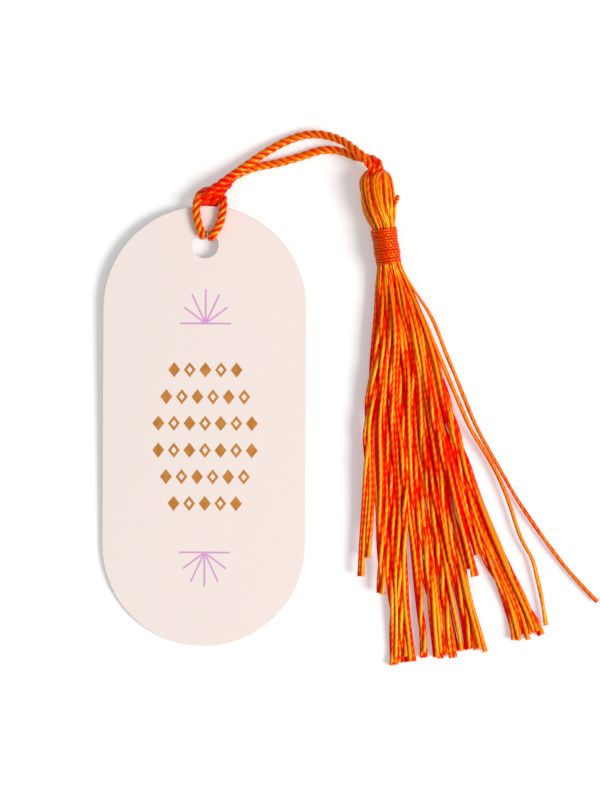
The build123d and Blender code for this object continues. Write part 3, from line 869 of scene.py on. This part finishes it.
def frayed_ends(line, radius):
    """Loose fibres at both cut ends: thin tapered tubes that leave the end's disc and spread."""
    tips = []
    for end, inner in ((line[0], line[8]), (line[-1], line[-9])):
        ahead = unit(end - inner)
        aside = unit(np.cross(ahead, [0.0, 0.0, 1.0]))
        over = np.cross(aside, ahead)
        angle = chance.uniform(0.0, math.tau, FRAY_COUNT)
        away = np.sqrt(chance.uniform(0.05, 1.0, FRAY_COUNT)) * radius * 0.8
        length = chance.uniform(*FRAY_LENGTHS, FRAY_COUNT) * MM
        spread = (np.cos(angle) * away)[:, None] * aside + (np.sin(angle) * away)[:, None] * over
        share = np.linspace(0.0, 1.0, FRAY_RINGS)[None, :, None]
        middle = end - ahead * FRAY_ROOT + spread[:, None] * (1.0 + FRAY_SPREAD * share)
        middle = middle + ahead * share * length[:, None, None]
        thick = FRAY_RADIUS * (1.0 - FRAY_TAPER * share ** 2)
        around = math.tau * np.arange(FRAY_SIDES) / FRAY_SIDES
        circle = np.cos(around)[:, None] * aside + np.sin(around)[:, None] * np.cross(ahead, aside)
        tips.append(middle[:, :, None] + thick[..., None] * circle)
    tips = np.concatenate(tips)
    tips[..., 2] = np.maximum(tips[..., 2], 0.05 * MM)
    return tips


yarn_orange = silky_fibre("yarn_orange", body=(1.0, 0.060, 0.0, 1.0), painted_shine=(1.0, 0.280, 0.002, 1.0),
                          fibres=12.0, fine_twist=4.2 * MM, twist_depth=0.11, gloss_index=1.75,
                          roughness=0.42)
left_ends = lock_ends(LEFT_STRANDS, LEFT_LOCKS)
stray_ends = [(side, reach, side) for reach, side in (STRAY_NEAR[0], STRAY_FAR[0])]
right_ends = np.concatenate([lock_ends(RIGHT_STRANDS, RIGHT_LOCKS), stray_ends])
strays = {YARN_COUNT - 2: STRAY_NEAR, YARN_COUNT - 1: STRAY_FAR}
for number in range(YARN_COUNT):
    place = lattice[number]
    sways = np.column_stack([chance.uniform(0.3, 0.9, 2), chance.uniform(45.0, 85.0, 2), chance.random(2),
                             chance.uniform(35.0, 60.0, 2), chance.random(2)])
    cuts = np.column_stack([np.zeros(2), chance.uniform(-1.4, 1.0, 2), np.zeros(2)])
    left = leg_route(place, -1, left_ends[number] + cuts[0], None, sways[0])
    right = leg_route(place, 1, right_ends[number] + cuts[1], strays.get(number), sways[1])
    route = np.concatenate([left, fold_route(place), right[::-1]]) * MM
    line, stations = cord_line(route, YARN_STEP)
    run = (line[:, :2] - np.array(EYE) * MM) @ AXIS_ALONG / MM
    radius = np.interp(run, *np.array(YARN_GIRTH).T) * MM * chance.uniform(0.94, 1.05)
    to_end = np.minimum(stations, stations[-1] - stations)
    radius = radius * (1.0 + END_SWELL * np.exp(-to_end / END_SWELL_LENGTH))
    single = ease((stations / stations[-1] - 0.52) / 0.06) * (number in strays)
    radius = radius * (1.0 - STRAY_THINNER * single)
    share = YARN_SHARE + STRAY_ROUNDER * single
    line[:, 2] = np.maximum(line[:, 2], radius)
    twist = stations / (YARN_TWIST * chance.uniform(0.8, 1.2))
    twist = twist + 0.25 * np.sin(stations / (11.0 * MM) + number)
    points = twisted_plies(line, stations, radius, 2, twist + chance.random(), share, YARN_SIDES,
                           (0.31, 0.22, 0.92))
    # Painted shade on the yarn's flanks and undersides.
    skirt, facing = painted_shade_facing(points, line, radius)
    # Painted light and shade on the yarn by its place: lighter on top, outside, at the edges and near the
    # cut ends.
    tone = yarn_light_and_shade(place, line, run, skirt)
    depth = FLANK_SHADE_IN_HEAD + (FLANK_SHADE_IN_SKIRT - FLANK_SHADE_IN_HEAD) * skirt[None, :, None]
    crest = tone[None, :, None] * ply_crest(points, line, radius, YARN_RELIEF) - depth * (1.0 - facing)
    yarn = cord_piece(f"tassel_yarn_{number + 1:02d}", points, stations, twist / YARN_SHARE, crest,
                      frayed_ends(line, radius[0]))
    yarn.data.materials.append(yarn_orange)
    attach(yarn, "tassel")
    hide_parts(f"yarn_{number + 1:02d}")

# Binding: one fine two-ply thread of the same rayon, wound tightly round the neck of the tassel.
# Its cut tail stands out a little on the right, above the turns.
BINDING_TURNS = 13
BINDING_PITCH = 0.8
BINDING_HALF = 0.19
NECK_YARNS_OUT = 5.873
BINDING_RADIUS = (NECK_YARNS_OUT + YARN_FILL) * NECK_PITCH + 0.06 + BINDING_HALF
BINDING_THREAD = 0.48 * MM
BINDING_TWIST = 2.6 * MM
BINDING_SHARE = 0.86
BINDING_RELIEF = 2.4
BINDING_STEPS = 48
TAIL_SWELL = 0.55
TAIL_LENGTH = 3.5 * MM
BINDING_SIDES = 10
BINDING_TAIL = np.array([
    (9.2, 5.7, 7.0), (11.2, 4.4, 6.8), (14.0, 3.2, 6.4), (17.0, 2.9, 4.0), (18.2, 3.3, 4.4)])
turn = np.linspace(0.0, BINDING_TURNS, BINDING_TURNS * BINDING_STEPS + 1)
wander = 0.06 * np.sin(1.7 * turn) + 0.04 * np.sin(4.1 * turn + 1.0)
bulge = 0.10 * np.sin(0.9 * turn + 0.5) + 0.06 * np.sin(2.3 * turn)
run = HEAD_LENGTH + BINDING_HALF + BINDING_PITCH * turn + wander + 0.35 * np.sin(math.tau * turn + 0.6)
winding = tassel_places(run, (BINDING_RADIUS + bulge) * np.cos(math.tau * turn),
                        TASSEL_HEIGHT + (BINDING_RADIUS + bulge) * np.sin(math.tau * turn)) * MM
tail = cord_line(tassel_places(*BINDING_TAIL.T) * MM, YARN_STEP)[0]
winding = np.concatenate([tail[:-1], winding])
stations = np.concatenate([[0.0], np.cumsum(np.linalg.norm(np.diff(winding, axis=0), axis=1))])
radius = BINDING_THREAD * (1.0 + TAIL_SWELL * np.exp(-(stations / TAIL_LENGTH) ** 2))
points = twisted_plies(winding, stations, radius, 2, stations / BINDING_TWIST, BINDING_SHARE,
                       BINDING_SIDES, np.append(AXIS_ALONG, 0.0))
binding = cord_piece("neck_thread", points, stations, stations / BINDING_TWIST / BINDING_SHARE,
                     ply_crest(points, winding, radius, BINDING_RELIEF))
thread_orange = silky_fibre("thread_orange", body=(1.0, 0.006, 0.0, 1.0), painted_shine=(1.0, 0.075, 0.001, 1.0),
                            fibres=8.0, fine_twist=1.8 * MM, twist_depth=0.16, gloss_index=1.75,
                            roughness=0.28)
binding.data.materials.append(thread_orange)
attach(binding, "tassel")
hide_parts("neck_binding")
